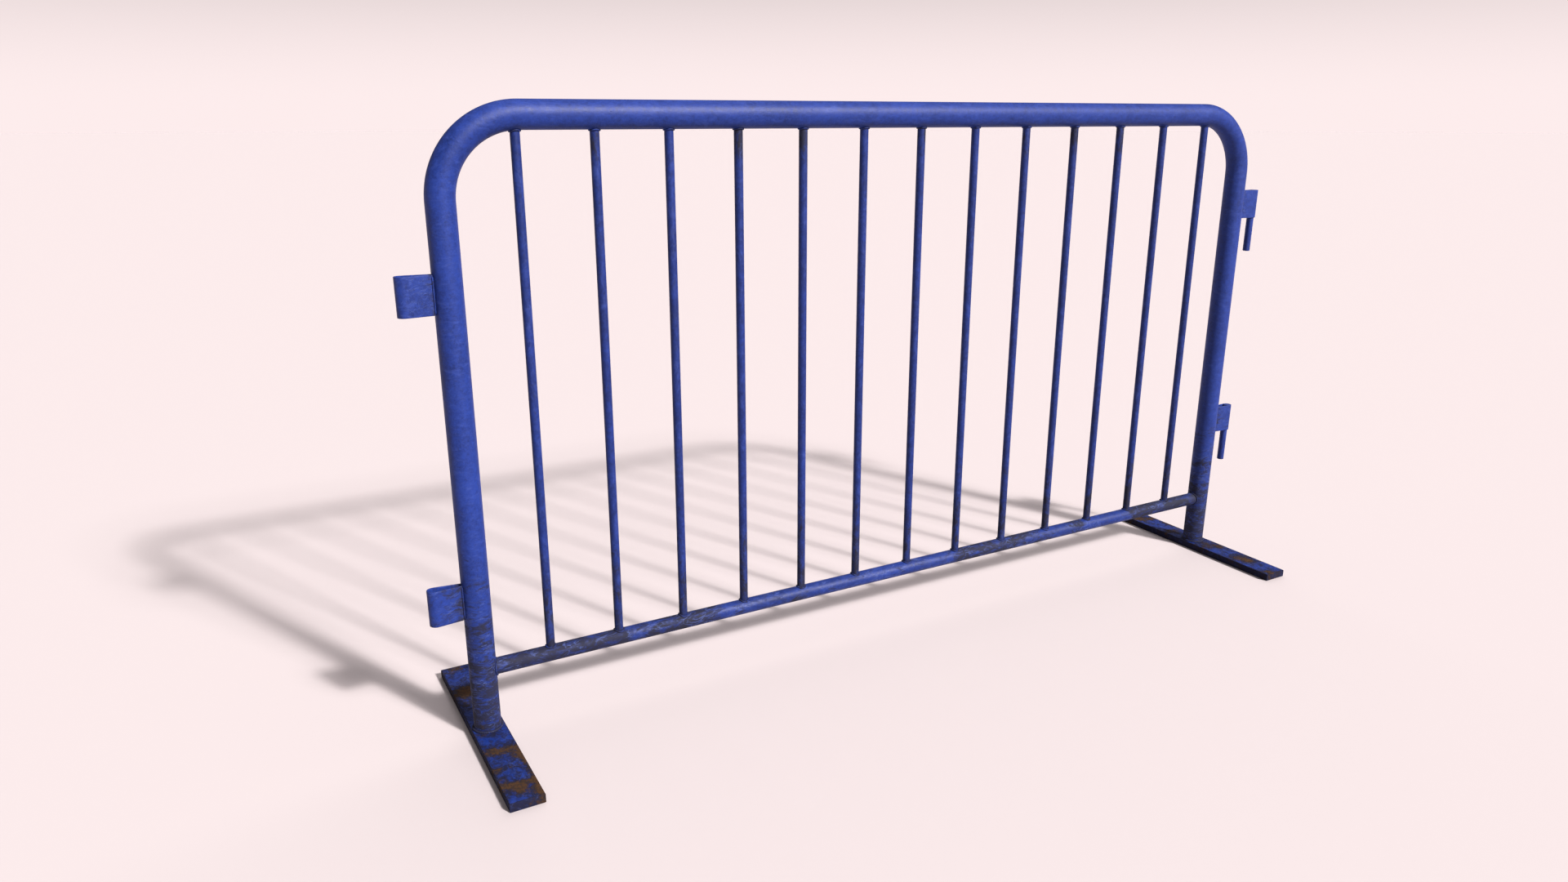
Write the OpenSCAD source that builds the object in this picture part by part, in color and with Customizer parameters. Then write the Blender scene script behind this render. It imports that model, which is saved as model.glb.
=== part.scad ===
// Interlocking steel crowd barrier.
// A bent tube frame stands on two flat bar feet and is filled with thin round bars.
// Eyes on the left upright take the hook pins of the next barrier's right upright.
// Origin: on the ground, halfway between the uprights. +X runs along the barrier to the hooks.

/* [Frame tube] */
// Distance between the axes of the two uprights
span = 1840; // [1400:10:2400]
// Height of the top of the barrier above the ground
height = 1100; // [900:10:1350]
// Outside diameter of the frame tube
frame_d = 48; // [38:1:60]
// Wall thickness of the frame tube
frame_wall = 2; // [1.5:0.5:4]
// Radius of the two top bends, to the axis of the tube
bend_r = 132; // [100:1:170]

/* [Bottom rail] */
// Outside diameter of the bottom rail
rail_d = 30; // [22:1:38]
// Wall thickness of the bottom rail
rail_wall = 2; // [1.5:0.5:3]
// Height of the bottom rail's axis above the ground
rail_z = 131; // [80:1:220]

/* [Bars] */
// Outside diameter of a bar
bar_d = 16; // [12:1:20]
// Wall thickness of a bar
bar_wall = 1.5; // [1:0.5:3]
// Distance from an upright's axis to the axis of the bar next to it
end_gap = 125; // [90:1:170]

/* [Feet] */
// Length of a foot, across the barrier
foot_l = 500; // [350:10:700]
// Width of a foot's flat bar
foot_w = 60; // [50:1:90]
// Thickness of a foot's flat bar
foot_t = 16; // [8:1:20]
// Chamfer on the edges of a foot's flat bar
foot_edge = 1; // [0.5:0.5:2]

/* [Hooks and eyes] */
// Height of a strap
strap_h = 65; // [40:1:90]
// Thickness of a strap
strap_t = 3; // [2:0.5:5]
// Distance from an upright's axis to the axis of an eye or a hook pin
reach = 70; // [55:1:95]
// Width across a strap where it meets the upright
root_w = 12; // [9:0.5:18]
// Height of the underside of the lower eye above the ground
eye_z = 235; // [170:1:320]
// Distance from the lower eye up to the upper one
eye_rise = 534; // [380:1:660]
// Gap between a hook strap and the eye below it when two barriers are coupled
coupling_gap = 5; // [2:1:15]
// Diameter of a hook pin
pin_d = 16; // [12:1:20]
// Length of hook pin below its strap
pin_drop = 80; // [40:1:110]
// Chamfer on the tip of a hook pin
pin_tip = 1; // [0.5:0.5:3]
// Step in a hook pin's radius, which seats it against the underside of its strap
pin_shoulder = 0.5; // [0.5:0.25:2]
// Clearance between a hook pin and the eye that it drops into, on the radius
pin_clearance = 1; // [0.5:0.25:3]

/* [Welds] */
// Leg of the weld beads round the bars and the bottom rail
bead = 2.5; // [1.5:0.5:4]
// Leg of the weld beads between the uprights and the feet
foot_bead = 4; // [2:0.5:6]

/* [Hidden] */
$fn = 96;
bar_count = 13;
// How far a cutting tool runs past the face that it cuts
overrun = 1;
paint = [0.14, 0.21, 0.55];
weld_paint = [0.11, 0.16, 0.42];

frame_r = frame_d / 2;
frame_bore_r = frame_r - frame_wall;
rail_r = rail_d / 2;
bar_r = bar_d / 2;
pin_r = pin_d / 2;
eye_r = pin_r + pin_clearance;
// A hook strap is bent round the pin's thinner top end
pin_neck_r = pin_r - pin_shoulder;
upright_x = span / 2;
top_z = height - frame_r;
bend_x = upright_x - bend_r;
bend_z = top_z - bend_r;
bar_pitch = (span - 2 * end_gap) / (bar_count - 1);
hook_z = eye_z + strap_h + coupling_gap;
// A bead round the foot of an upright is never wider than the flat bar that it lies on
foot_bead_leg = min(foot_bead, foot_w / 2 - frame_r - foot_edge);

function two_digits(i) = str(i < 10 ? "0" : "", i);
function bar_name(i) = str("bar_", two_digits(i));
function bar_x(i) = (i - 1) * bar_pitch - upright_x + end_gap;

// Distance from an eye's axis to the near side of the upright
arm_run = reach - frame_r;
// The arms are drawn on past the upright's round side, which then cuts them to fit
arm_end = arm_run + root_w / 2;

// A solid round bar of radius r along the frame: upright, bend, top rail, bend and upright.
// It is the frame tube's outside when r is its radius, and its bore when r is the bore's.
module frame_path(r, z_low) {
    for (side = [-1, 1])
        translate([side * upright_x, 0, z_low]) cylinder(r = r, h = bend_z - z_low);
    translate([-bend_x, 0, top_z]) rotate([0, 90, 0]) cylinder(r = r, h = 2 * bend_x);
    for (turn = [0, 180])
        rotate([0, 0, turn]) frame_bend(r);
}

// One quarter bend, on the +X side
module frame_bend(r) {
    translate([bend_x, 0, bend_z])
        rotate([90, 0, 0])
            rotate_extrude(angle = 90) translate([bend_r, 0]) circle(r = r);
}

// The outside of the frame where the bar at x meets the top rail
module frame_over(x, r) {
    translate([-bend_x, 0, top_z]) rotate([0, 90, 0]) cylinder(r = r, h = 2 * bend_x);
    if (abs(x) + bar_d > bend_x)
        rotate([0, 0, x < 0 ? 180 : 0]) frame_bend(r);
}

module rail_path(r) {
    translate([-upright_x, 0, rail_z]) rotate([0, 90, 0]) cylinder(r = r, h = span);
}

// An upright's outside over the height of one strap
module upright_beside(side, z_low) {
    translate([side * upright_x, 0, z_low - overrun])
        cylinder(r = frame_r, h = strap_h + 2 * overrun);
}

module frame_tube() {
    color(paint)
    difference() {
        frame_path(frame_r, foot_t);
        frame_path(frame_bore_r, foot_t - overrun);
    }
}

module bottom_rail() {
    color(paint)
    difference() {
        rail_path(rail_r);
        rail_path_bore();
        for (side = [-1, 1])
            translate([side * upright_x, 0, rail_z - frame_d])
                cylinder(r = frame_r, h = 2 * frame_d);
    }
}

module rail_path_bore() {
    translate([-upright_x - overrun, 0, rail_z])
        rotate([0, 90, 0]) cylinder(r = rail_r - rail_wall, h = span + 2 * overrun);
}

// A bar's ends are shaped to the round sides of the two rails
module bar(i) {
    x = bar_x(i);
    color(paint)
    difference() {
        translate([x, 0, rail_z]) cylinder(r = bar_r, h = top_z - rail_z);
        translate([x, 0, rail_z - overrun])
            cylinder(r = bar_r - bar_wall, h = top_z - rail_z + 2 * overrun);
        rail_path(rail_r);
        frame_over(x, frame_r);
    }
}

module foot(side) {
    outline = [
        [-foot_w / 2 + foot_edge, 0], [foot_w / 2 - foot_edge, 0],
        [foot_w / 2, foot_edge], [foot_w / 2, foot_t - foot_edge],
        [foot_w / 2 - foot_edge, foot_t], [-foot_w / 2 + foot_edge, foot_t],
        [-foot_w / 2, foot_t - foot_edge], [-foot_w / 2, foot_edge]
    ];
    color(paint)
    translate([side * upright_x, foot_l / 2, 0])
        rotate([90, 0, 0]) linear_extrude(foot_l) polygon(outline);
}

// A strap bent round a nose, with its arms closing in on the upright.
// It is drawn round its nose's axis, with the upright on the +X side.
module strap_blank(nose_bore_r) {
    nose_r = nose_bore_r + strap_t;
    closing = (nose_r - root_w / 2) / arm_run;
    arm = [
        [0, nose_bore_r], [0, nose_r],
        [arm_end, nose_r - closing * arm_end], [arm_end, nose_bore_r - closing * arm_end]
    ];
    rotate([0, 0, 90])
        rotate_extrude(angle = 180) translate([nose_bore_r, 0]) square([strap_t, strap_h]);
    for (flip = [0, 1])
        mirror([0, flip, 0]) linear_extrude(strap_h) polygon(arm);
}

// side is -1 for the eyes on the left upright and 1 for the hooks on the right one
module strap(side, nose_bore_r, z_low) {
    color(paint)
    difference() {
        translate([side * (upright_x + reach), 0, z_low])
            rotate([0, 0, side < 0 ? 0 : 180]) strap_blank(nose_bore_r);
        upright_beside(side, z_low);
    }
}

// A pin's free end stops against the strap above it, and its neck is held in the strap's nose
module hook_pin(strap_z) {
    color(paint)
    translate([upright_x + reach, 0, strap_z - pin_drop]) {
        cylinder(r1 = pin_r - pin_tip, r2 = pin_r, h = pin_tip);
        translate([0, 0, pin_tip]) cylinder(r = pin_r, h = pin_drop - pin_tip);
        translate([0, 0, pin_drop]) cylinder(r = pin_neck_r, h = strap_h);
    }
}

module bar_top_welds() {
    color(weld_paint)
    for (i = [1:bar_count])
        difference() {
            intersection() {
                translate([bar_x(i), 0, top_z - frame_d])
                    cylinder(r = bar_r + bead, h = frame_d);
                frame_over(bar_x(i), frame_r + bead);
            }
            frame_over(bar_x(i), frame_r);
            translate([bar_x(i), 0, top_z - frame_d - overrun])
                cylinder(r = bar_r, h = frame_d + 2 * overrun);
        }
}

module bar_bottom_welds() {
    color(weld_paint)
    for (i = [1:bar_count])
        difference() {
            intersection() {
                translate([bar_x(i), 0, rail_z]) cylinder(r = bar_r + bead, h = rail_d);
                rail_path(rail_r + bead);
            }
            rail_path(rail_r);
            translate([bar_x(i), 0, rail_z - overrun]) cylinder(r = bar_r, h = rail_d + 2 * overrun);
        }
}

// A collar of weld round each end of the bottom rail, shaped to the upright's round side
module rail_welds() {
    color(weld_paint)
    for (turn = [0, 180])
        rotate([0, 0, turn])
            difference() {
                rail_end(rail_r + bead);
                rail_end(rail_r);
                translate([upright_x, 0, rail_z - rail_d]) cylinder(r = frame_r, h = 2 * rail_d);
            }
}

// The last stretch of the bottom rail at radius r, from the bead's edge to the right upright's axis
module rail_end(r) {
    translate([upright_x - frame_r - bead, 0, rail_z])
        rotate([0, 90, 0]) cylinder(r = r, h = frame_r + bead);
}

// Two upright beads for each strap, in the corners between its arms and the upright
module strap_welds() {
    corner_x = frame_r * cos(asin(root_w / frame_d));
    color(weld_paint)
    for (side = [-1, 1], level = [0, 1], face = [-1, 1])
        difference() {
            translate([side * (upright_x + corner_x), face * root_w / 2, strap_z(side, level) + bead])
                cylinder(r = bead, h = strap_h - 2 * bead);
            upright_beside(side, strap_z(side, level));
            translate([side * (upright_x + reach), 0, strap_z(side, level)])
                rotate([0, 0, side < 0 ? 0 : 180]) strap_blank(side < 0 ? eye_r : pin_neck_r);
        }
}

function strap_z(side, level) = (side < 0 ? eye_z : hook_z) + level * eye_rise;

module foot_welds() {
    color(weld_paint)
    for (side = [-1, 1])
        translate([side * upright_x, 0, foot_t])
            rotate_extrude()
                polygon([[frame_r, 0], [frame_r + foot_bead_leg, 0], [frame_r, foot_bead_leg]]);
}

frame_tube();
bottom_rail();
for (i = [1:bar_count])
    bar(i);
foot(-1);  // foot_left
foot(1);  // foot_right
strap(-1, eye_r, eye_z);  // eye_strap_lower
strap(-1, eye_r, eye_z + eye_rise);  // eye_strap_upper
strap(1, pin_neck_r, hook_z);  // hook_strap_lower
strap(1, pin_neck_r, hook_z + eye_rise);  // hook_strap_upper
hook_pin(hook_z);  // hook_pin_lower
hook_pin(hook_z + eye_rise);  // hook_pin_upper
bar_top_welds();
bar_bottom_welds();
rail_welds();
strap_welds();
foot_welds();
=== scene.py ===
"""The finish of an interlocking steel crowd barrier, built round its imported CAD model."""

import bpy
import numpy as np
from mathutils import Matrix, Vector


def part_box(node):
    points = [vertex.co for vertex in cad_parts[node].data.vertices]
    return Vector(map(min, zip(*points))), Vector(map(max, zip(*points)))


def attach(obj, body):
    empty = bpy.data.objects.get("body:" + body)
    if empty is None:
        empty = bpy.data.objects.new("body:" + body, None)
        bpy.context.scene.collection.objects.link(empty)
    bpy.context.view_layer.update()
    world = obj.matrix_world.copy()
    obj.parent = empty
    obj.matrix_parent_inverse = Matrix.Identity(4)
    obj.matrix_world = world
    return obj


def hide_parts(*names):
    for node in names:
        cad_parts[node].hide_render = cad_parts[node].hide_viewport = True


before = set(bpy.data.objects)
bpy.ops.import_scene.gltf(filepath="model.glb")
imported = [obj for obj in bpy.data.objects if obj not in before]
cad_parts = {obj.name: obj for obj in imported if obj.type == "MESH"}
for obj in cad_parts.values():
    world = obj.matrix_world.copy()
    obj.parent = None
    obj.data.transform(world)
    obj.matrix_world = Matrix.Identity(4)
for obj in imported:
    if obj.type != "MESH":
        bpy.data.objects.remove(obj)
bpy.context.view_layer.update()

# ---------------------------------------------------------------------------------------------
# Frame tube. One 48 mm steel tube, bent cold to an upside-down U with two quarter bends, then
# painted blue after welding. Its lower ends stand in the splash, so they carry road grime.
# ---------------------------------------------------------------------------------------------
tube_low, tube_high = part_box("frame_tube")
tube_r = tube_high.y
tube_wall = 0.002
bend_r = 0.132
upright_x = tube_high.x - tube_r
bend_x = upright_x - bend_r
top_z = tube_high.z - tube_r
bend_z = top_z - bend_r
bend_squeeze = 0.012


def shell(points, rows_meet=True):
    """A closed skin over a grid of points, with one four-sided face to each grid square.

    Columns run round and meet. Rows meet too on a ring, and otherwise end in two flat caps.
    """
    rows, columns = points.shape[:2]
    number = np.arange(rows * columns).reshape(rows, columns)
    beside = np.roll(number, -1, axis=1)
    squares = np.stack([number, beside, np.roll(beside, -1, axis=0), np.roll(number, -1, axis=0)], axis=-1)
    if rows_meet:
        return points.reshape(-1, 3), squares.reshape(-1, 4).tolist()
    caps = [number[0, ::-1].tolist(), number[-1].tolist()]
    return points.reshape(-1, 3), squares[:-1].reshape(-1, 4).tolist() + caps


def make_piece(name, shells, finish, crease=35):
    """One object from one or more shells, smooth but for edges sharper than the crease angle."""
    counts = np.cumsum([0] + [len(points) for points, _ in shells])
    points = np.concatenate([points for points, _ in shells])
    faces = [[int(n + start) for n in face] for start, (_, own) in zip(counts, shells) for face in own]
    mesh = bpy.data.meshes.new(name)
    mesh.from_pydata(points.tolist(), [], faces)
    mesh.shade_smooth()
    mesh.set_sharp_from_angle(angle=np.radians(crease))
    mesh.materials.append(finish.material)
    piece = bpy.data.objects.new(name, mesh)
    bpy.context.scene.collection.objects.link(piece)
    return piece


def bent_tube(centres, headings, radius, squeeze, columns=96):
    """Rings round a path that lies in the XZ plane.

    Each ring is its centre plus the radius times cos(turn) across the path in that plane and
    sin(turn) along Y. Squeeze narrows the first and widens the second by half as much.
    """
    turn = np.linspace(0, 2 * np.pi, columns, endpoint=False)
    across = np.stack([headings[:, 1], 0 * headings[:, 0], -headings[:, 0]], axis=-1)
    flat = (1 - squeeze)[:, None] * np.cos(turn)
    deep = (1 + squeeze / 2)[:, None] * np.sin(turn)
    rings = centres[:, None] + radius * flat[..., None] * across[:, None]
    rings[..., 1] += radius * deep
    return rings


def frame_path(step=0.012, arc_rows=41, rail_rows=130):
    """Centres, headings and bend shares along the frame: upright, quarter arc, top rail, arc, upright.

    On an arc the centre is bend_r times cos and sin of the turn from the bend's own centre, and the
    bend share is the square of sin(2 turn), which is 0 at both ends of the arc and 1 halfway.
    """
    rise = np.arange(tube_low.z, bend_z, step)
    turn = np.linspace(0, np.pi / 2, arc_rows)
    run = np.linspace(-bend_x, bend_x, rail_rows)[1:-1]
    left = np.stack([0 * rise - upright_x, rise, 0 * rise, 0 * rise + 1, 0 * rise], axis=-1)
    arc = np.stack([-bend_x - bend_r * np.cos(turn), bend_z + bend_r * np.sin(turn),
                    np.sin(turn), np.cos(turn), np.sin(2 * turn) ** 2], axis=-1)
    top = np.stack([run, 0 * run + top_z, 0 * run + 1, 0 * run, 0 * run], axis=-1)
    half = np.concatenate([left, arc])
    other = half[::-1] * [-1, 1, 1, -1, 1]
    rows = np.concatenate([half, top, other])
    centres = np.stack([rows[:, 0], 0 * rows[:, 0], rows[:, 1]], axis=-1)
    return centres, rows[:, 2:4], rows[:, 4]


class Value:
    """A number that varies over a surface. Each arithmetic sign adds the Math node it stands for."""

    def __init__(self, finish, socket):
        self.finish, self.socket = finish, socket

    def math(self, operation, *terms):
        return self.finish.add("ShaderNodeMath", {"operation": operation}, dict(enumerate(terms)))

    def __add__(self, other):
        return self.math("ADD", self, other)

    def __sub__(self, other):
        return self.math("SUBTRACT", self, other)

    def __rsub__(self, other):
        return self.math("SUBTRACT", other, self)

    def __mul__(self, other):
        return self.math("MULTIPLY", self, other)

    def __abs__(self):
        return self.math("ABSOLUTE", self)

    __radd__, __rmul__ = __add__, __mul__

    def between(self, low, high):
        """0 below low and 1 above high, with a soft step from one to the other."""
        limits = {"Value": self, "From Min": low, "From Max": high}
        return self.finish.add("ShaderNodeMapRange", {"interpolation_type": "SMOOTHSTEP"}, limits)


class Finish:
    """A material in the making, and the one way to add a node to it."""

    def __init__(self, name, **constants):
        self.material = bpy.data.materials.new(name)
        self.material.use_nodes = True
        self.tree = self.material.node_tree
        self.tree.nodes.clear()
        self.shader = self.tree.nodes.new("ShaderNodeBsdfPrincipled")
        end = self.tree.nodes.new("ShaderNodeOutputMaterial")
        self.tree.links.new(self.shader.outputs[0], end.inputs["Surface"])
        self.place = self.add("ShaderNodeTexCoord", {}, {}, "Object")
        self.show(**constants)

    def add(self, kind, settings, inputs, output=0):
        node = self.tree.nodes.new(kind)
        for setting, value in settings.items():
            setattr(node, setting, value)
        for socket, value in inputs.items():
            self.feed(node.inputs[socket], value)
        return Value(self, node.outputs[output])

    def feed(self, socket, value):
        if isinstance(value, Value):
            self.tree.links.new(value.socket, socket)
        else:
            socket.default_value = value

    def show(self, **surface):
        for socket, value in surface.items():
            self.feed(self.shader.inputs[socket.replace("_", " ")], value)

    def axis(self, number):
        return self.add("ShaderNodeSeparateXYZ", {}, {0: self.place}, number)

    def noise(self, scale, detail=3, rough=0.5, stretch=(1, 1, 1), shift=0, swirl=0):
        """Cloudy noise from 0 to 1, scale features to the metre, squeezed or drawn out along each axis."""
        terms = {0: self.place, 1: stretch, 2: (shift, shift, shift)}
        spot = self.add("ShaderNodeVectorMath", {"operation": "MULTIPLY_ADD"}, terms)
        inputs = {"Vector": spot, "Scale": scale, "Detail": detail, "Roughness": rough, "Distortion": swirl}
        return self.add("ShaderNodeTexNoise", {}, inputs)

    def mix(self, share, first, second):
        return self.add("ShaderNodeMix", {"data_type": "RGBA"}, {0: share, 6: first, 7: second}, 2)

    def relief(self, height, depth):
        return self.add("ShaderNodeBump", {}, {"Height": height, "Distance": depth})


# The paint at its deepest, at its clearest, faded by the sun and rubbed thin, and what lies on it
deep_blue = (0.0022, 0.0085, 0.062, 1)
clear_blue = (0.0080, 0.0255, 0.170, 1)
faded_blue = (0.019, 0.038, 0.185, 1)
rubbed_blue = (0.052, 0.078, 0.235, 1)
# The dark tone laid by the grime layer, for grime and for painted shade alike
grime_and_shade_tone = (0.0072, 0.0062, 0.0096, 1)
rust_dark = (0.0150, 0.0105, 0.0085, 1)
rust_bright = (0.046, 0.0215, 0.0085, 1)
relief_depth = 0.00055


def weathered_paint(name, grime, rust, rub, grain=(1, 1, 1), shine=0.23, depth=0.0):
    """Blue brushed paint with four layers over it: fade, grime, rubbed strokes and rust.

    Grime, rust and rub are how much of each layer shows at a point, from 0 to 1, either as a
    number or as a function of the finish. For the bars, straps and weld beads the grime layer also
    carries painted shade. Grain squeezes the grime's pattern along each axis, shine is the paint's
    specular level, and depth moves the blue towards its deepest tone.
    """
    finish = Finish(name, Specular_IOR_Level=shine)
    grime, rust, rub = [part(finish) if callable(part) else part for part in (grime, rust, rub)]

    # The paint's own tone, from hand-sized clouds down to flecks of a few millimetres
    cloud = finish.noise(11, 4, 0.55, shift=3.1)
    mottle = finish.noise(105, 4, 0.65, shift=7.7)
    fleck = finish.noise(330, 3, 0.6, shift=5.3)
    tone = cloud * 0.30 + mottle * 0.40 + fleck * 0.30
    blue = finish.mix(tone.between(0.26 + depth, 0.66 + depth), deep_blue, clear_blue)

    # Sun-faded patches, and grime that clings where the mottle is rough; for the bars, straps and weld beads
    # this layer also paints shade
    fade = finish.noise(36, 5, 0.65, grain, 1.7, 1.0).between(0.50, 0.74) * 0.6
    blue = finish.mix(fade, blue, faded_blue)
    stain = finish.noise(44, 6, 0.68, grain, 9.3, 1.2)
    # This mask is grime, and painted shade where a finish's grime mask includes it
    dirty = (stain * 1.2 + mottle * 0.3 + grime * 0.55 - 0.25).between(0.62, 0.94) * 0.88

    # Rubbed strokes: thin lines along which a swirled noise crosses its middle, broken up
    stroke = abs(finish.noise(27, 3, 0.5, grain, 5.9, 2.6) - 0.5)
    stroke_width = 0.044
    break_up = finish.noise(34, 5, 0.7, grain, 2.3).between(0.44, 0.60)
    rubbed = (stroke_width - stroke).between(0, stroke_width) * break_up * rub * 0.50

    # Rust, with a ragged edge and brighter embers inside
    patch = finish.noise(58, 6, 0.70, shift=12.1)
    ember = finish.noise(170, 4, 0.72, shift=4.4)
    rusty = ((patch - 0.5) * 1.8 + (ember - 0.5) * 1.1 + rust).between(0.34, 0.86) * 0.94
    brown = finish.mix((ember * 1.3 + rust * 0.35).between(0.70, 1.15), rust_dark, rust_bright)
    colour = finish.mix(dirty, blue, grime_and_shade_tone)
    colour = finish.mix(rubbed, colour, rubbed_blue)
    colour = finish.mix(rusty, colour, brown)

    # Brush marks and orange peel stand a little proud, the grime layer (with its painted shade) and rust more
    # so, rubbed paint less
    peel = finish.noise(640, 2, 0.5, shift=0.9)
    wave = finish.noise(150, 4, 0.6, shift=6.2)
    layers = dirty * mottle * 0.6 + rusty * (ember * 1.5 + 0.25) - rubbed * 0.6
    height = peel * 0.20 + wave * 0.7 + layers
    gloss = 0.53 + (mottle - 0.5) * 0.20 + dirty * 0.26 + rusty * 0.30 - rubbed * 0.08
    finish.show(Base_Color=colour, Roughness=gloss, Normal=finish.relief(height, relief_depth))
    return finish


tide_marks = (0.298, 0.222, 0.152, 0.100, 0.045)
tide_mark_reach = 0.013


def splash_grime(finish):
    """Grime that thickens from knee height to the ground, with darker tide marks across it."""
    height = finish.axis(2)
    level = height + (finish.noise(16, 3, 0.55, shift=8.8) - 0.5) * 0.07
    grime = (0.47 - height).between(0, 0.46) * 0.68
    for mark in tide_marks:
        grime = grime + (tide_mark_reach - abs(level - mark)).between(0, tide_mark_reach) * 0.20
    return grime


def low_rust(finish):
    """Rust spots from 220 mm above the ground downwards."""
    return (0.22 - finish.axis(2)).between(0, 0.22) * 0.34


def splash_rub(finish):
    """Rubbed strokes, thick near the ground and faint higher up."""
    return 0.18 + (0.34 - finish.axis(2)).between(0, 0.16) * 0.75


centres, headings, bends = frame_path()
outside = bent_tube(centres, headings, tube_r, bend_squeeze * bends)
bore = bent_tube(centres[::-1], headings[::-1], tube_r - tube_wall, bend_squeeze * bends[::-1])
frame_finish = weathered_paint("frame_paint", splash_grime, low_rust, splash_rub, grain=(1, 1, 2.6))
frame_piece = make_piece("bent_frame", [shell(np.concatenate([outside, bore]))], frame_finish)
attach(frame_piece, "root")
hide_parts("frame_tube")

# ---------------------------------------------------------------------------------------------
# Bottom rail. A straight 30 mm steel tube, cut at both ends to the round side of the uprights
# and welded between them. Boots and trolley wheels scuff it, so it is the dirtiest of the tubes.
# ---------------------------------------------------------------------------------------------
rail_low, rail_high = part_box("bottom_rail")
rail_r = rail_high.y
rail_wall = 0.002
rail_z = (rail_low.z + rail_high.z) / 2


def coped_tube(origin, axes, radius, wall, start, end, rows, columns=64):
    """A straight tube from start to end, its outside and its bore in one closed skin.

    At each turn the point is radius times cos and sin across the tube. Start and end give how
    far along the tube it begins and ends there, so each end follows the face that it meets.
    """
    turn = np.linspace(0, 2 * np.pi, columns, endpoint=False)
    walls = []
    for r, way in ((radius, 1), (radius - wall, -1)):
        a, b = r * np.cos(turn), r * np.sin(turn)
        share = np.linspace(0, 1, rows)[::way, None]
        along = start(a, b) * (1 - share) + end(a, b) * share
        walls.append(np.stack([a + 0 * along, b + 0 * along, along], axis=-1))
    return shell(np.array(origin) + np.concatenate(walls) @ np.array(axes, float))


def beside_upright(a, b):
    """How far the upright's round side is from its axis, at a point a to one side of it."""
    return np.sqrt(tube_r ** 2 - a ** 2)


def rail_grime(finish):
    """Grime along most of the rail, wiped clean in patches a hand's width long."""
    return 0.72 - finish.noise(6.5, 3, 0.5, (1, 0.4, 0.4), 4.2).between(0.45, 0.57) * 0.54


rail_grain = (0.6, 1.6, 1.6)
rail_finish = weathered_paint("rail_paint", rail_grime, 0.10, 1.0, grain=rail_grain, depth=0.05)
rail_axes = ((0, 1, 0), (0, 0, 1), (1, 0, 0))
rail_skin = coped_tube((0, 0, rail_z), rail_axes, rail_r, rail_wall,
                       lambda a, b: beside_upright(a, b) - upright_x,
                       lambda a, b: upright_x - beside_upright(a, b), rows=120)
rail_piece = make_piece("lower_rail", [rail_skin], rail_finish)
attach(rail_piece, "root")
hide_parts("bottom_rail")

# ---------------------------------------------------------------------------------------------
# Vertical bars. Thirteen 16 mm steel tubes, cut to the round sides of the two rails and welded
# between them. The outermost two meet the top rail just where its bends begin.
# ---------------------------------------------------------------------------------------------
bar_names = sorted(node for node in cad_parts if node[:4] == "bar_" and node[4:].isdigit())
bar_wall = 0.0015


def above_bottom_rail(x, y):
    """Height of the bottom rail's upper side at y, the same all along the rail."""
    return rail_z + np.sqrt(rail_r ** 2 - y ** 2)


def below_frame(x, y):
    """Height of the frame's underside: straight under the top rail, curved under a bend.

    In the bend the underside is bend_r less the tube's half width at y from the bend's centre,
    so its height over that centre is the other leg of a right triangle.
    """
    near = bend_r - np.sqrt(tube_r ** 2 - y ** 2)
    into_bend = np.maximum(np.abs(x) - bend_x, 0)
    return bend_z + np.sqrt(near ** 2 - into_bend ** 2)


def bar_place(node):
    """A bar's axis along the barrier, and its radius."""
    low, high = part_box(node)
    return (low.x + high.x) / 2, (high.x - low.x) / 2


def bar_grime_and_shade(finish):
    """Grime gathered at both ends of the bars, above the bottom rail and under the top one; under the top
    rail the darkening is also painted shade.
    """
    height = finish.axis(2)
    some_bars = finish.noise(9, 1, 0.5, (1.7, 1, 0.4), 3.7).between(0.47, 0.58)
    low_end = (0.42 - height).between(0, 0.28) * 0.50
    # Darker just under the top rail on some bars: grime, and painted shade under the rail
    top_end_grime_and_shade = (height - 0.975).between(0, 0.06) * some_bars * 0.55
    return 0.10 + low_end + top_end_grime_and_shade


def bar_rust(finish):
    """A few rust spots close under the top rail."""
    return (finish.axis(2) - 0.97).between(0, 0.06) * 0.16


bar_grain = (1.5, 1.5, 0.7)
bar_finish = weathered_paint("bar_paint", bar_grime_and_shade, bar_rust, 0.35, grain=bar_grain, depth=0.09)
for node in bar_names:
    bar_x, bar_r = bar_place(node)
    skin = coped_tube((bar_x, 0, 0), np.eye(3), bar_r, bar_wall,
                      lambda a, b: above_bottom_rail(bar_x + a, b),
                      lambda a, b: below_frame(bar_x + a, b), rows=40, columns=48)
    bar_piece = make_piece("round_" + node, [skin], bar_finish)
    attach(bar_piece, "root")
    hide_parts(node)

# ---------------------------------------------------------------------------------------------
# Weld beads round the bars and the bottom rail. Each is laid by hand in the corner between two
# tubes, in small overlapping ripples, and painted over with the rest.
# ---------------------------------------------------------------------------------------------
bead_leg = 0.0025
bead_radius_share = 0.66
bead_lift_share = 0.30
ripple_share = 0.14
rows_per_ripple = 6


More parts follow.
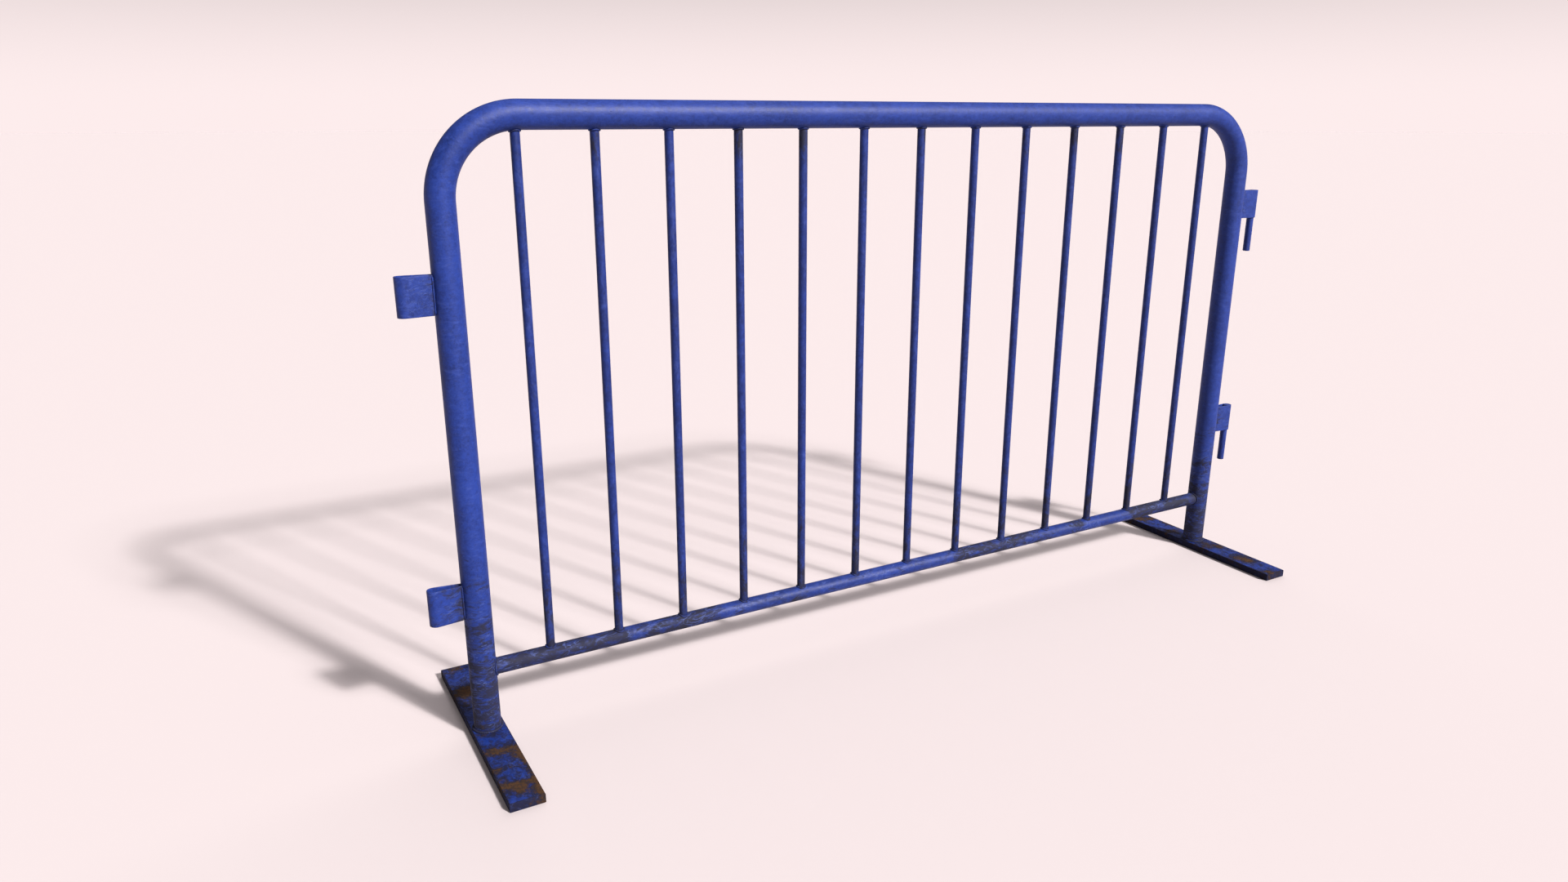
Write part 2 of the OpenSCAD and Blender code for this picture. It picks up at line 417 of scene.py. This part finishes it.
def weld_bead(corner, first, second, leg, ripple, closed=True, columns=12):
    """A rippled bead laid along a corner between two faces with the normals first and second.

    Each ring is a circle, lifted out of the corner along both normals. Its radius swells and
    shrinks once for each ripple, by a rectified sine, and an open bead's ends taper by the root
    of 1 less the twelfth power of the way from its middle.
    """
    if closed:
        step = np.roll(corner, -1, axis=0) - np.roll(corner, 1, axis=0)
    else:
        step = np.gradient(corner, axis=0)
    forward = step / np.linalg.norm(step, axis=1)[:, None]
    across = np.cross(forward, first)
    place = np.linspace(0, 1, len(corner), endpoint=not closed)
    swell = 1 - ripple_share + ripple_share * np.abs(np.sin(np.pi * ripple * place))
    taper = 1 if closed else np.sqrt(np.clip(1 - np.abs(2 * place - 1) ** 12, 0.01, 1))
    radius = bead_radius_share * leg * swell * taper
    turn = np.linspace(0, 2 * np.pi, columns, endpoint=False)
    ring = np.cos(turn)[:, None] * first[:, None] + np.sin(turn)[:, None] * across[:, None]
    middle = corner + bead_lift_share * leg * (first + second)
    return shell(middle[:, None] + radius[:, None, None] * ring, rows_meet=closed)


def saddle_bead(x, r, rail_radius, up, corner_z, ripple=26):
    """The bead round a bar of radius r where it meets a rail: a circle in plan, a saddle in height."""
    turn = np.linspace(0, 2 * np.pi, ripple * rows_per_ripple, endpoint=False)
    a, b = r * np.cos(turn), r * np.sin(turn)
    height = corner_z(x + a, b)
    corner = np.stack([x + a, b, height], axis=-1)
    outward = np.stack([np.cos(turn), np.sin(turn), 0 * turn], axis=-1)
    rail_out = np.stack([0 * turn, b, up * np.sqrt(rail_radius ** 2 - b ** 2)], axis=-1) / rail_radius
    return weld_bead(corner, outward, rail_out, bead_leg, ripple)


def bead_grime_and_shade(finish):
    """Grime caught in the ripples, and darker towards the ground, where the darkening is grime and painted
    contact shade.
    """
    # The darkening towards the ground is grime and painted contact shade, deepest round the uprights' feet
    return 0.42 + (0.40 - finish.axis(2)).between(0, 0.40) * 0.35


bead_finish = weathered_paint("weld_paint", bead_grime_and_shade, 0.12, 0)
bottom_beads = [saddle_bead(*bar_place(node), rail_r, 1, above_bottom_rail) for node in bar_names]
top_beads = [saddle_bead(*bar_place(node), tube_r, -1, below_frame) for node in bar_names]


def rail_bead(side, ripple=48):
    """The bead round one end of the bottom rail, in the corner with the upright's round side."""
    turn = np.linspace(0, 2 * np.pi, ripple * rows_per_ripple, endpoint=False)
    y, z = rail_r * np.cos(turn), rail_r * np.sin(turn)
    reach = beside_upright(y, z)
    corner = np.stack([side * (upright_x - reach), y, rail_z + z], axis=-1)
    outward = np.stack([0 * turn, np.cos(turn), np.sin(turn)], axis=-1)
    upright_out = np.stack([-side * reach, y, 0 * turn], axis=-1) / tube_r
    return weld_bead(corner, outward, upright_out, bead_leg, ripple)


for name, node, shells in (("lower_bar_beads", "bar_bottom_welds", bottom_beads),
                           ("upper_bar_beads", "bar_top_welds", top_beads),
                           ("rail_end_beads", "rail_welds", [rail_bead(-1), rail_bead(1)])):
    bead_piece = make_piece(name, shells, bead_finish)
    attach(bead_piece, "root")
    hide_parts(node)

# ---------------------------------------------------------------------------------------------
# Feet. Two 60 by 16 mm hot-rolled steel flats, 500 mm long, sawn to length and welded under the
# uprights. They lie in the wet, so rust breaks through the paint in patches across their tops.
# ---------------------------------------------------------------------------------------------
foot_edge = 0.0014
foot_saw_edge = 0.0008
foot_end = 0.003
foot_step = 0.0025


def flat_profile(width, thickness, edge, width_points, side_points=3):
    """The outline of a flat bar: width and thickness offsets, with quarter arcs at its corners.

    Each arc is edge times (sin, cos) of its turn, round a centre set in by edge both ways.
    """
    w, t = width / 2 - edge, thickness / 2 - edge
    turn = np.linspace(0, np.pi / 2, 6)
    across = np.linspace(-w, w, width_points)[1:-1]
    down = np.linspace(t, -t, side_points + 2)[1:-1]
    quarter = np.stack([w + edge * np.sin(turn), t + edge * np.cos(turn)], axis=-1)
    top = np.stack([across, 0 * across + t + edge], axis=-1)
    side = np.stack([0 * down + w + edge, down], axis=-1)
    half = np.concatenate([top, quarter, side, quarter[::-1] * [1, -1]])
    return np.concatenate([half, -half])


def foot_skin(low, high):
    """A flat bar along Y: its outline carried from end to end, drawn in a little at both sawn ends."""
    inset = np.array([1, 0.35, 0.08, 0]) * foot_saw_edge
    near = low.y + np.array([0, 0.15, 0.5, 1]) * foot_saw_edge
    middle = np.arange(low.y + foot_end, high.y - foot_end, foot_step)
    y = np.concatenate([near, middle, -near[::-1]])
    inset = np.concatenate([inset, 0 * middle, inset[::-1]])
    width, thickness = high.x - low.x, high.z - low.z
    outline = flat_profile(width, thickness, foot_edge, 28)
    shrink = 1 - inset[:, None] / np.array([width / 2, thickness / 2])
    rings = outline * shrink[:, None]
    x = (low.x + high.x) / 2 + rings[..., 0]
    z = (low.z + high.z) / 2 + rings[..., 1]
    return shell(np.stack([x, y[:, None] + 0 * x, z], axis=-1), rows_meet=False)


# Where rust has broken through, in millimetres: across the foot from its middle, along it from its
# middle, reach across, reach along, and then the strength
left_patches = [
    (0, -217, 15, 17, 1), (26, -236, 12, 16, 0.9), (-20, -196, 14, 18, 0.8), (27, -205, 8, 28, 0.8),
    (4, -200, 26, 8, 0.75), (-22, -146, 10, 20, 0.5), (4, -146, 30, 9, 0.4), (-14, -90, 16, 18, 1),
    (14, -92, 13, 14, 0.9), (27, -130, 7, 40, 0.7), (18, -118, 12, 16, 0.6), (-10, -28, 20, 12, 0.4),
    (-16, 85, 12, 18, 0.5), (-12, 138, 20, 26, 1), (12, 146, 18, 20, 0.8), (-4, 238, 18, 14, 0.8),
    (20, 52, 12, 24, 0.7),
]
right_patches = [
    (-12, -240, 16, 14, 0.9), (0, -166, 22, 22, 0.8), (4, -170, 10, 10, 0.8), (-4, -138, 26, 16, 0.6),
    (-2, -48, 28, 26, 0.65), (16, -75, 14, 16, 0.6), (-6, 58, 26, 24, 0.65), (-12, 170, 16, 18, 0.9),
    (14, 156, 14, 14, 0.9), (0, 190, 28, 14, 0.55), (26, 100, 8, 40, 0.6),
]
patch_units = (0.001, 0.001, 0.001, 0.001, 1)
edge_rust = 0.26
edge_rust_reach = 0.006
side_reach = 0.0012


def mark_foot(piece, low, high, patches):
    """Marks how rusty and how dirty each point of a foot is.

    Every patch adds its strength, falling off as a bell, and bare edges add more. The sawn ends
    and narrow sides, which water splashes from below, are dirty all over.
    """
    points = np.empty(len(piece.data.vertices) * 3)
    piece.data.vertices.foreach_get("co", points)
    x, y = points.reshape(-1, 3)[:, :2].T
    across = x - (low.x + high.x) / 2
    patch = (np.array(patches) * patch_units)[:, :, None]
    bells = patch[:, 4] * np.exp(-((across - patch[:, 0]) / patch[:, 2]) ** 2
                                 - ((y - patch[:, 1]) / patch[:, 3]) ** 2)
    from_side = (high.x - low.x) / 2 - np.abs(across)
    from_end = high.y - np.abs(y)
    from_rim = np.minimum(from_side, from_end)
    rust = bells.sum(axis=0) + edge_rust * np.clip(1 - from_rim / edge_rust_reach, 0, 1)
    for mark, amount in (("rust_patches", rust), ("side_grime", 1.0 * (from_rim < side_reach))):
        layer = piece.data.attributes.new(mark, "FLOAT", "POINT")
        layer.data.foreach_set("value", np.clip(amount, 0, 1).astype(np.float32))


def marked(finish, mark):
    """What a foot's mesh is marked with at a point, from 0 to 1."""
    return finish.add("ShaderNodeAttribute", {"attribute_name": mark}, {}, "Fac")


def patch_rust(finish):
    """The rust marked on the foot, and a trace of it everywhere."""
    return marked(finish, "rust_patches") * 0.90 + 0.06


def foot_grime(finish):
    """Grime spread unevenly over the tops, and thick on the sides and sawn ends."""
    return 0.46 + marked(finish, "rust_patches") * 0.50 + marked(finish, "side_grime") * 0.9


foot_grain = (1.5, 1.2, 1)
foot_finish = weathered_paint("foot_paint", foot_grime, patch_rust, 0.45, grain=foot_grain, shine=0.10)
for node, name, patches in (("foot_left", "left_flat_foot", left_patches),
                            ("foot_right", "right_flat_foot", right_patches)):
    low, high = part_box(node)
    foot_piece = make_piece(name, [foot_skin(low, high)], foot_finish)
    mark_foot(foot_piece, low, high, patches)
    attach(foot_piece, "root")
    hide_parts(node)

# ---------------------------------------------------------------------------------------------
# Foot beads. A heavier weld runs round the lower end of each upright, where it stands on its
# foot. Water sits in this corner, so the bead carries grime, and its dark colour is also painted contact
# shade.
# ---------------------------------------------------------------------------------------------
foot_bead_low, foot_bead_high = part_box("foot_welds")
foot_bead_leg = foot_bead_high.z - foot_bead_low.z


def foot_bead(side, ripple=44):
    """The ring of weld round one upright's lower end, lying on the foot's flat top."""
    turn = np.linspace(0, 2 * np.pi, ripple * rows_per_ripple, endpoint=False)
    outward = np.stack([np.cos(turn), np.sin(turn), 0 * turn], axis=-1)
    corner = np.array([side * upright_x, 0, foot_bead_low.z]) + tube_r * outward
    upward = 0 * outward + [0, 0, 1]
    return weld_bead(corner, outward, upward, foot_bead_leg, ripple)


foot_beads = make_piece("foot_beads", [foot_bead(-1), foot_bead(1)], bead_finish)
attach(foot_beads, "root")
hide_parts("foot_welds")

# ---------------------------------------------------------------------------------------------
# Eye and hook straps. Each is a 65 by 3 mm steel strip bent round a nose, its two arms closing
# in on the upright, where they are welded. An eye's nose is open and a hook's grips its pin.
# ---------------------------------------------------------------------------------------------
strap_t = 0.003
strap_edge = 0.0007
root_half = 0.006


def strap_skin(low, high, side, arc_rows=57, arm_rows=24):
    """A strip of 65 by 3 mm carried along its plan: an arm, the nose's arc, and the other arm.

    The arc's radius reaches the middle of the strip. It ends where a line from the arm's root just
    touches it: at the root's own bearing, plus the angle whose cosine is the radius over the
    root's distance.
    """
    nose_r = high.y - strap_t / 2
    centre_x = side * max(abs(low.x), abs(high.x)) - side * high.y
    run = abs(centre_x) - upright_x - tube_r + strap_t / 2
    root = np.array([run, root_half - strap_t / 2])
    touch = np.arctan2(root[1], root[0]) + np.arccos(nose_r / np.hypot(*root))
    turn = np.linspace(-touch, touch - 2 * np.pi, arc_rows)
    arc = nose_r * np.stack([np.cos(turn), np.sin(turn)], axis=-1)
    share = np.linspace(0, 1, arm_rows)[:-1, None]
    near_arm = root * [1, -1] * (1 - share) + arc[0] * share
    plan = np.concatenate([near_arm, arc, (near_arm * [1, -1])[::-1]])
    step = np.gradient(plan, axis=0)
    forward = step / np.linalg.norm(step, axis=1)[:, None]
    aside = np.stack([-forward[:, 1], forward[:, 0]], axis=-1)
    outline = flat_profile(high.z - low.z, strap_t, strap_edge, 20, 1)
    flat = plan[:, None] + outline[None, :, 1:] * aside[:, None]
    x = centre_x - side * flat[..., 0]
    y = -side * flat[..., 1]
    z = (low.z + high.z) / 2 + outline[:, 0] + 0 * x
    return shell(np.stack([x, y, z], axis=-1), rows_meet=False)


def strap_grime_and_shade(finish):
    """Painted shade beside the upright, heaviest next to the weld, and grime on the low straps."""
    low_down = (0.50 - finish.axis(2)).between(0, 0.30) * 0.34
    # Darker within 50 mm of the upright: painted shade where the strap meets the upright
    painted_shade_by_weld = (upright_x + 0.050 - abs(finish.axis(0))).between(0, 0.028) * 0.42
    return low_down + painted_shade_by_weld


strap_finish = weathered_paint("strap_paint", strap_grime_and_shade, 0.05, 0.6, grain=(1, 1, 1.8))
for node, name in (("eye_strap_lower", "lower_eye"), ("eye_strap_upper", "upper_eye"),
                   ("hook_strap_lower", "lower_hook"), ("hook_strap_upper", "upper_hook")):
    low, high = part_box(node)
    strap_piece = make_piece(name, [strap_skin(low, high, -1 if low.x < 0 else 1)], strap_finish)
    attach(strap_piece, "root")
    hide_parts(node)

# ---------------------------------------------------------------------------------------------
# Strap beads. A run of weld stands in each corner between a strap's arms and the upright, for
# nearly the strap's whole height, with its ends tapered off.
# ---------------------------------------------------------------------------------------------


def strap_bead(side, face, low_z, high_z, ripple=22):
    """One upright bead, in the corner between a strap's outer face and the upright's round side."""
    z = np.linspace(low_z + bead_leg, high_z - bead_leg, ripple * rows_per_ripple)
    corner_y = face * root_half
    reach = beside_upright(corner_y, 0)
    corner = np.stack([0 * z + side * (upright_x + reach), 0 * z + corner_y, z], axis=-1)
    arm_out = np.stack([0 * z, 0 * z + face, 0 * z], axis=-1)
    upright_out = np.stack([0 * z + side * reach, 0 * z + corner_y, 0 * z], axis=-1) / tube_r
    return weld_bead(corner, arm_out, upright_out, bead_leg, ripple, closed=False)


strap_shells = []
for node in ("eye_strap_lower", "eye_strap_upper", "hook_strap_lower", "hook_strap_upper"):
    low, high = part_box(node)
    strap_shells += [strap_bead(-1 if low.x < 0 else 1, face, low.z, high.z) for face in (-1, 1)]
strap_beads = make_piece("strap_beads", strap_shells, bead_finish)
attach(strap_beads, "root")
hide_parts("strap_welds")

# ---------------------------------------------------------------------------------------------
# Hook pins. Two lengths of 16 mm round steel, sawn and chamfered, with a shoulder turned where
# each enters its strap. Sliding in the next barrier's eye rubs their paint thin.
# ---------------------------------------------------------------------------------------------
pin_tip = 0.001
pin_neck = 0.0005
pin_end = 0.0004
pin_soft_edge = 0.0003


def pin_skin(low, high, strap_low):
    """A turned pin: its radius at each height, carried round its axis.

    From the ground up it has a chamfered tip, the free length at its full radius, a step in at the
    strap, the length that the strap grips, and a small chamfer at its upper end.
    """
    r = (high.y - low.y) / 2
    free = np.linspace(low.z + pin_tip, strap_low - pin_soft_edge, 24)
    held = np.linspace(strap_low, high.z - pin_end, 12)
    tip_radius = [r - pin_tip, r - 0.4 * pin_tip]
    held_radius = 0 * held + r - pin_neck
    radius = np.concatenate([tip_radius, 0 * free + r, [r - 0.0001], held_radius, [held_radius[0] - pin_end]])
    height = np.concatenate([[low.z, low.z + 0.4 * pin_tip], free, [strap_low], held, [high.z]])
    turn = np.linspace(0, 2 * np.pi, 64, endpoint=False)
    x = (low.x + high.x) / 2 + radius[:, None] * np.cos(turn)
    y = radius[:, None] * np.sin(turn)
    return shell(np.stack([x, y, height[:, None] + 0 * x], axis=-1), rows_meet=False)


pin_finish = weathered_paint("pin_paint", 0.22, 0.08, 1.0, grain=(2, 2, 0.5))
for level in ("lower", "upper"):
    low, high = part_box("hook_pin_" + level)
    skin = pin_skin(low, high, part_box("hook_strap_" + level)[0].z)
    pin_piece = make_piece(level + "_hook_pin", [skin], pin_finish)
    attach(pin_piece, "root")
    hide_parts("hook_pin_" + level)

# ---------------------------------------------------------------------------------------------
# Studio. A plain pale floor out to the horizon, a distant lamp from the front right with a small
# bright core and a wide halo, a soft fill from behind, a pale sky, and the camera at chest height.
# ---------------------------------------------------------------------------------------------
floor_reach = 90.0
key_colour = (1.0, 0.97, 0.955)
key_way = np.array([0.556, -1.282, 1.0])


class Sky(Finish):
    """The colour of the surroundings, made with the same nodes as a finish."""

    def __init__(self, name):
        self.world = bpy.data.worlds.new(name)
        self.world.use_nodes = True
        self.tree = self.world.node_tree
        self.shader = self.tree.nodes["Background"]
        self.place = self.add("ShaderNodeTexCoord", {}, {}, "Generated")


around = np.linspace(0, 2 * np.pi, 128, endpoint=False)
rim = floor_reach * np.stack([np.cos(around), np.sin(around), 0 * around], axis=-1)
pale_floor = (0.403, 0.358, 0.362, 1)
floor_finish = Finish("studio_floor", Base_Color=pale_floor, Roughness=1.0, Specular_IOR_Level=0.0)
floor = make_piece("studio_floor", [(rim, [list(range(len(rim)))])], floor_finish)

key_tilt = np.arctan2(np.hypot(key_way[0], key_way[1]), key_way[2])
key_turn = np.arctan2(key_way[1], key_way[0]) + np.pi / 2
for name, spread, power in (("lamp_core", 3.5, 4.7), ("lamp_halo", 10.0, 4.3)):
    lamp = bpy.data.lights.new(name, "SUN")
    lamp.angle = np.radians(spread)
    lamp.energy = power
    lamp.color = key_colour
    lamp_object = bpy.data.objects.new(name, lamp)
    lamp_object.rotation_euler = (key_tilt, 0, key_turn)
    bpy.context.scene.collection.objects.link(lamp_object)

back_fill = bpy.data.lights.new("back_fill", "SUN")
back_fill.angle = np.radians(70)
back_fill.energy = 2.2
back_fill.color = (1.0, 0.96, 0.96)
back_object = bpy.data.objects.new("back_fill", back_fill)
back_object.rotation_euler = np.radians((-58, 0, -42))
back_object.visible_glossy = False
bpy.context.scene.collection.objects.link(back_object)

horizon = (0.985, 0.845, 0.845, 1)
dim_band = (0.17, 0.16, 0.165, 1)
overhead = (0.58, 0.56, 0.56, 1)
sky = Sky("studio_sky")
rising = sky.axis(2)
low_sky = sky.mix(rising.between(0.01, 0.29), horizon, dim_band)
sky.show(Color=sky.mix(rising.between(0.60, 0.82), low_sky, overhead))
bpy.context.scene.world = sky.world
bpy.context.scene.view_settings.view_transform = "Standard"

lens = bpy.data.cameras.new("camera")
lens.sensor_width = 36.0
lens.lens = 24.52
camera = bpy.data.objects.new("camera", lens)
camera.location = (-1.2834, -1.7478, 1.0726)
camera.rotation_euler = np.radians((73.106, 0, -29.235))
bpy.context.scene.collection.objects.link(camera)
bpy.context.scene.camera = camera
